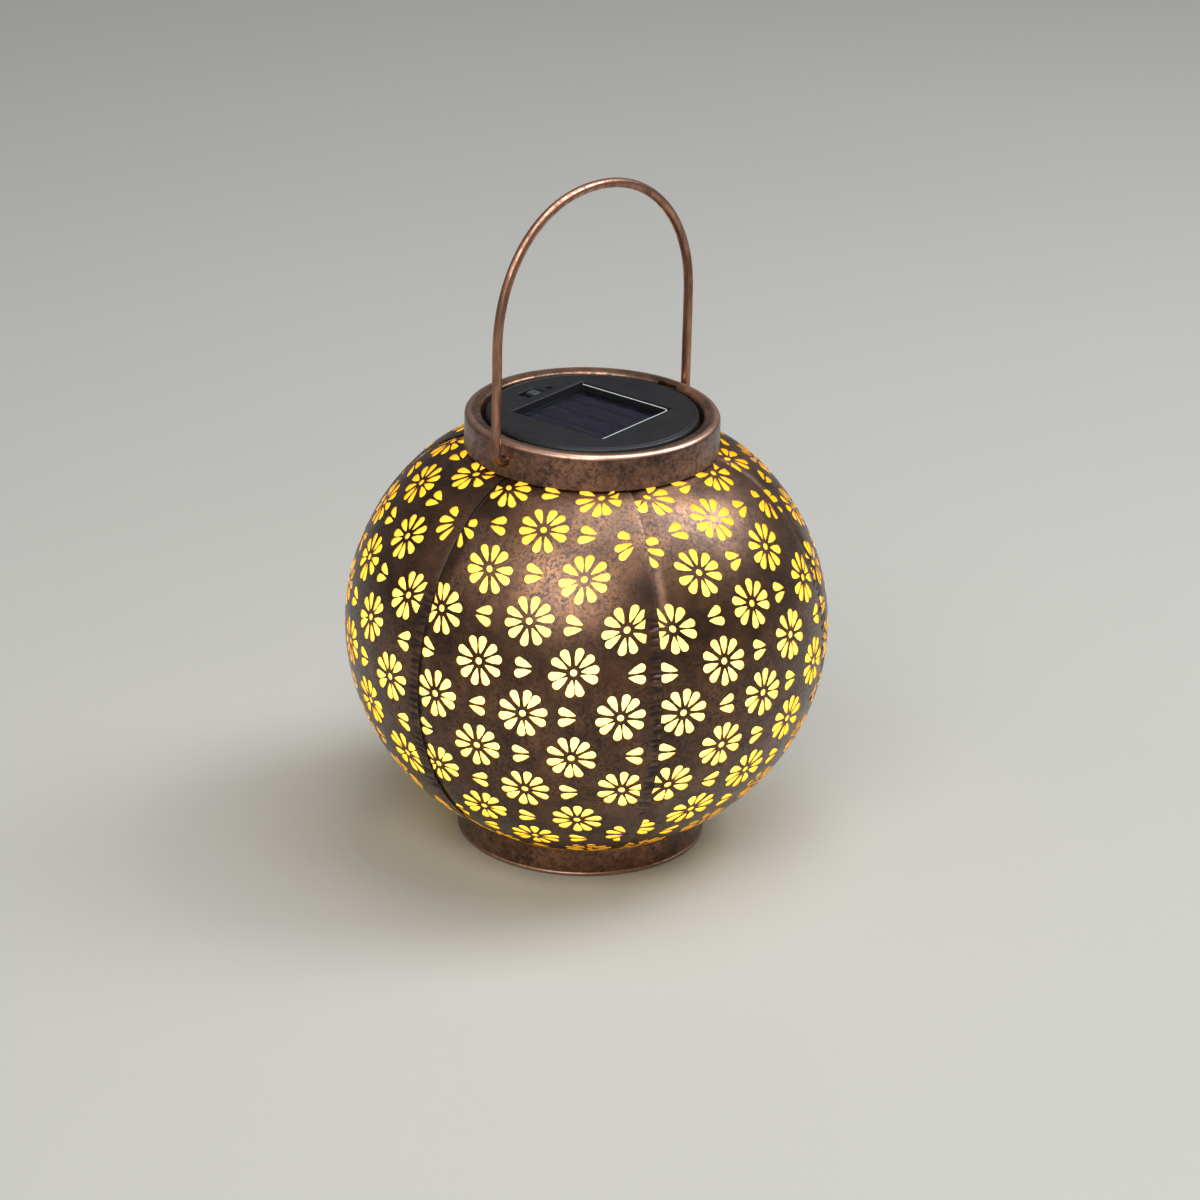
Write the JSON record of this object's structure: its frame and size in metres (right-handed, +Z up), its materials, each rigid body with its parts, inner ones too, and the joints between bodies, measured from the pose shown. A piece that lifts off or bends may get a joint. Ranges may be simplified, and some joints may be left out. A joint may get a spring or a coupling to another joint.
{
  "type": "solar lantern",
  "caption": "Pierced copper-coloured metal globe lantern with a foot ring, a swinging wire handle and a lift-out round solar module on top.",
  "frame": {"origin": "centre of the foot ring's bottom face", "axes": "+Z up through the globe's centre; X is parallel to the line that the handle swings about"},
  "size_m": [0.2, 0.2, 0.2839],
  "materials": {
    "aged_copper": "antiqued, dark speckled patina, satin",
    "copper_wire": "worn copper wire, satin",
    "black_plastic": "moulded, satin black",
    "seal_rubber": "matt",
    "board_green": "solder-mask green",
    "solar_cell": "dark violet-blue silicon",
    "plated_steel": "bright plated",
    "battery_sleeve": "shrink sleeve",
    "grey_plastic": "moulded grey",
    "red_lead": "insulated lead",
    "black_lead": "insulated lead",
    "clear_resin": "clear, glossy",
    "liner_film": "translucent amber film, lit from inside",
    "frosted_plastic": "frosted, translucent"
  },
  "bodies": {
    "lantern_body": {"globe_gore_1": "aged_copper", "globe_gore_2": "aged_copper", "globe_gore_3": "aged_copper", "globe_gore_4": "aged_copper", "globe_gore_5": "aged_copper", "globe_gore_6": "aged_copper", "globe_liner": "liner_film", "top_collar": "aged_copper", "foot_ring": "aged_copper", "bottom_plate": "aged_copper"},
    "handle": {"bail_handle": "copper_wire"},
    "solar_module": {"module_cover": "black_plastic", "sealing_ring": "seal_rubber", "panel_resin": "clear_resin", "battery_housing": "black_plastic", "frosted_dome": "frosted_plastic", "panel_board": "black_plastic", "cell_strip_1": "solar_cell", "cell_strip_2": "solar_cell", "cell_strip_3": "solar_cell", "cell_strip_4": "solar_cell", "housing_screw_1": "plated_steel", "housing_screw_2": "plated_steel", "housing_screw_3": "plated_steel", "battery_cell": "battery_sleeve", "contact_plate_negative": "plated_steel", "contact_plate_positive": "plated_steel", "contact_spring": "plated_steel", "circuit_board": "board_green", "driver_chip": "black_plastic", "inductor": "black_plastic", "capacitor": "plated_steel", "led": "frosted_plastic", "switch_body": "black_plastic", "light_sensor": "grey_plastic", "panel_lead_positive": "red_lead", "panel_lead_negative": "black_lead", "battery_lead_positive": "red_lead", "battery_lead_negative": "black_lead", "switch_lead_common": "black_lead", "switch_lead_on": "red_lead", "sensor_lead": "red_lead"},
    "switch_slider": {"switch_knob": "grey_plastic"},
    "battery_flap": {"battery_door": "black_plastic"}
  },
  "joints": [
    {"name": "handle_swing", "type": "hinge", "parent": "lantern_body", "child": "handle", "pos_m": [0, 0, 0.1774], "axis": [1, 0, 0], "range_deg": [-105, 105]},
    {"name": "module_lift", "type": "slide", "parent": "lantern_body", "child": "solar_module", "axis": [0, 0, 1], "range_m": [0, 0.045]},
    {"name": "switch_slide", "type": "slide", "parent": "solar_module", "child": "switch_slider", "axis": [0.9968, 0.0802, 0], "range_m": [-0.004, 0]},
    {"name": "battery_door_hinge", "type": "hinge", "parent": "solar_module", "child": "battery_flap", "pos_m": [0.00072, -0.00897, 0.152], "axis": [0.9968, 0.0802, 0], "range_deg": [0, 95]}
  ]
}
